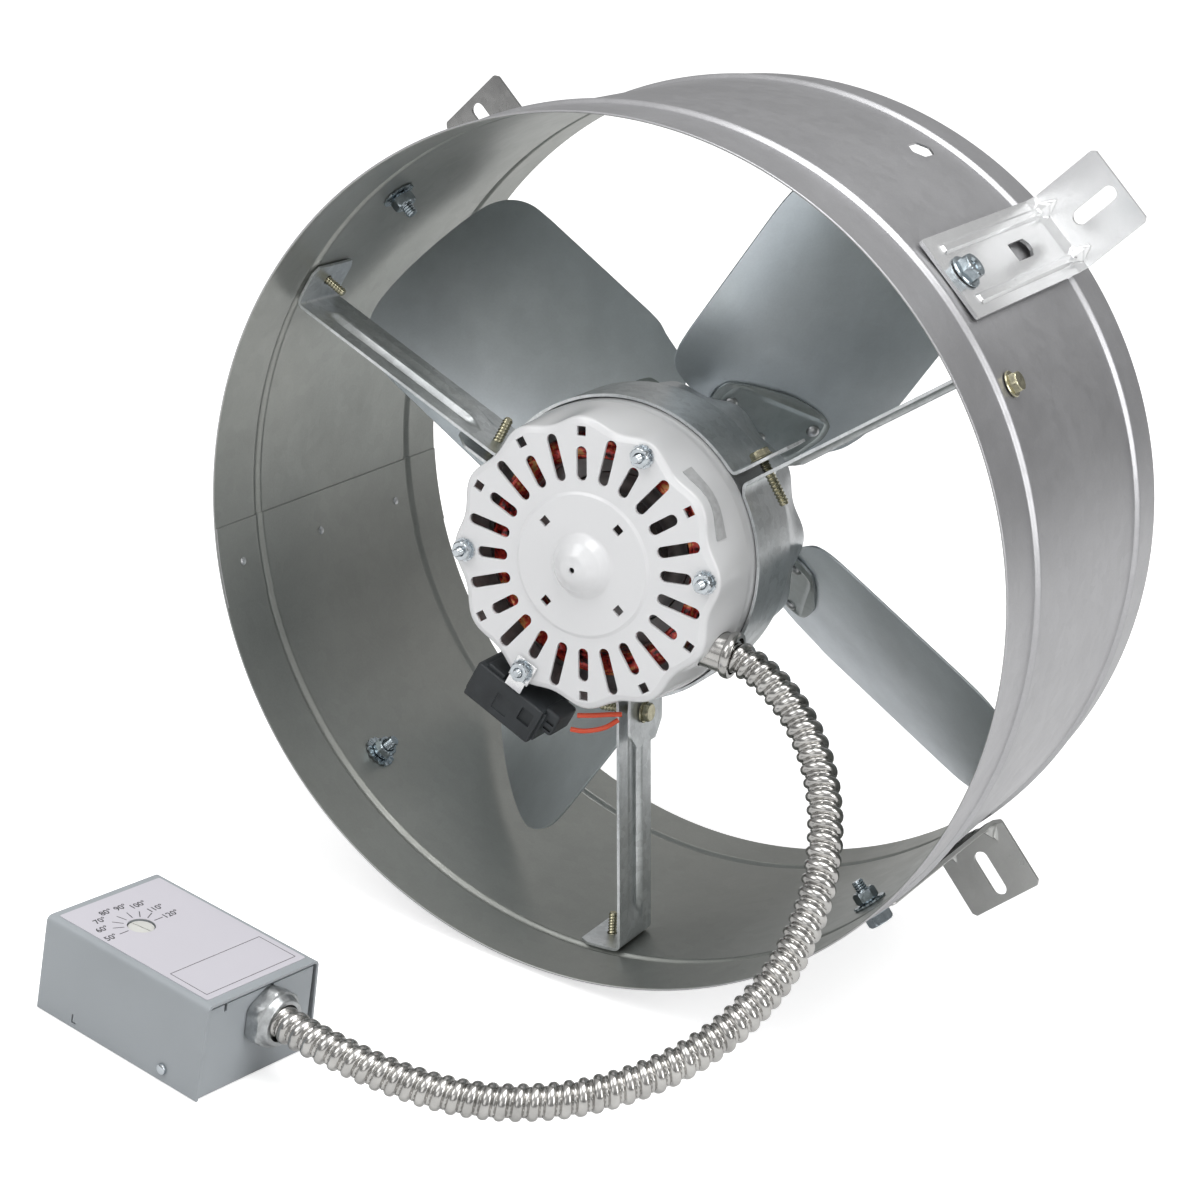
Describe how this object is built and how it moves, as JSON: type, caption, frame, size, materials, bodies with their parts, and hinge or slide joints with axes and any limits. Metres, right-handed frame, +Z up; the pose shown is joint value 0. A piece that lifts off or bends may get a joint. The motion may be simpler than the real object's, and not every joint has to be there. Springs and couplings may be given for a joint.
{
  "type": "attic ventilator",
  "caption": "Gable-mount attic ventilator: motor on clamp arms in a sheet-steel ring with wall brackets, propeller, and a thermostat box on flexible conduit.",
  "frame": {"origin": "middle of the underside of the whole object's bounding box, on the ground under the housing ring", "axes": "+Z up; +Y along the fan axis, the way the air is blown and the way the wall feet face; +X to the right seen from the motor side"},
  "size_m": [0.405, 0.394, 0.405],
  "materials": {
    "galvanised": "satin galvanised sheet",
    "bright_zinc": "bright zinc plate",
    "arm_steel": "satin galvanised strip",
    "yellow_zinc": "yellow zinc plate",
    "white_enamel": "gloss white enamel",
    "lamination_steel": "bare steel",
    "winding": "red enamelled copper wire",
    "bearing_bronze": "sintered bronze",
    "black_plastic": "matt black moulded plastic",
    "wire_insulation": "orange-red insulation",
    "conduit_steel": "bright interlocked steel strip",
    "box_paint": "satin blue-grey paint",
    "label": "printed film label, no lettering but dial numbers",
    "phenolic": "moulded phenolic",
    "dial_plastic": "ivory plastic",
    "blade_steel": "satin galvanised sheet"
  },
  "bodies": {
    "ventilator_frame": {"housing_ring": "galvanised", "wall_bracket_1": "bright_zinc", "wall_bracket_2": "bright_zinc", "wall_bracket_3": "bright_zinc", "wall_bracket_4": "bright_zinc", "bracket_bolt_1": "bright_zinc", "bracket_bolt_2": "bright_zinc", "bracket_bolt_3": "bright_zinc", "bracket_bolt_4": "bright_zinc", "bracket_nut_1": "bright_zinc", "bracket_nut_2": "bright_zinc", "bracket_nut_3": "bright_zinc", "bracket_nut_4": "bright_zinc", "motor_arm_left": "arm_steel", "motor_arm_right": "arm_steel", "motor_arm_bottom": "arm_steel", "arm_foot_screw_1": "yellow_zinc", "arm_foot_screw_2": "yellow_zinc", "arm_foot_screw_3": "yellow_zinc", "arm_clamp_screw_1": "yellow_zinc", "arm_clamp_screw_2": "yellow_zinc", "arm_clamp_screw_3": "yellow_zinc", "motor_front_cap": "white_enamel", "motor_rear_bell": "arm_steel", "stator_core": "lamination_steel", "stator_winding": "winding", "front_bearing": "bearing_bronze", "rear_bearing": "bearing_bronze", "through_bolt_1": "bright_zinc", "through_bolt_2": "bright_zinc", "through_bolt_3": "bright_zinc", "through_bolt_4": "bright_zinc", "through_nut_1": "bright_zinc", "through_nut_2": "bright_zinc", "through_nut_3": "bright_zinc", "through_nut_4": "bright_zinc", "capacitor": "black_plastic", "capacitor_strap": "bright_zinc", "lead_wire_1": "wire_insulation", "lead_wire_2": "wire_insulation", "flexible_conduit": "conduit_steel", "motor_conduit_connector": "bright_zinc", "box_conduit_connector": "bright_zinc", "connector_locknut": "bright_zinc", "thermostat_base": "box_paint", "thermostat_cover": "box_paint", "thermostat_label": "label", "thermostat_switch": "phenolic", "cover_screw_1": "bright_zinc", "cover_screw_2": "bright_zinc"},
    "fan_rotor": {"motor_shaft": "lamination_steel", "rotor_core": "lamination_steel", "fan_hub": "lamination_steel", "hub_set_screw": "lamination_steel", "blade_spider": "arm_steel", "fan_blade_1": "blade_steel", "fan_blade_2": "blade_steel", "fan_blade_3": "blade_steel", "fan_blade_4": "blade_steel"},
    "dial": {"thermostat_dial": "dial_plastic"}
  },
  "joints": [
    {"name": "fan_spin", "type": "hinge", "parent": "ventilator_frame", "child": "fan_rotor", "pos_m": [0, -0.001, 0.2025], "axis": [0, 1, 0], "continuous": true},
    {"name": "dial_turn", "type": "hinge", "parent": "ventilator_frame", "child": "dial", "pos_m": [-0.10292, -0.15986, 0.0445], "axis": [0, 0, 1], "range_deg": [-90, 90]}
  ]
}
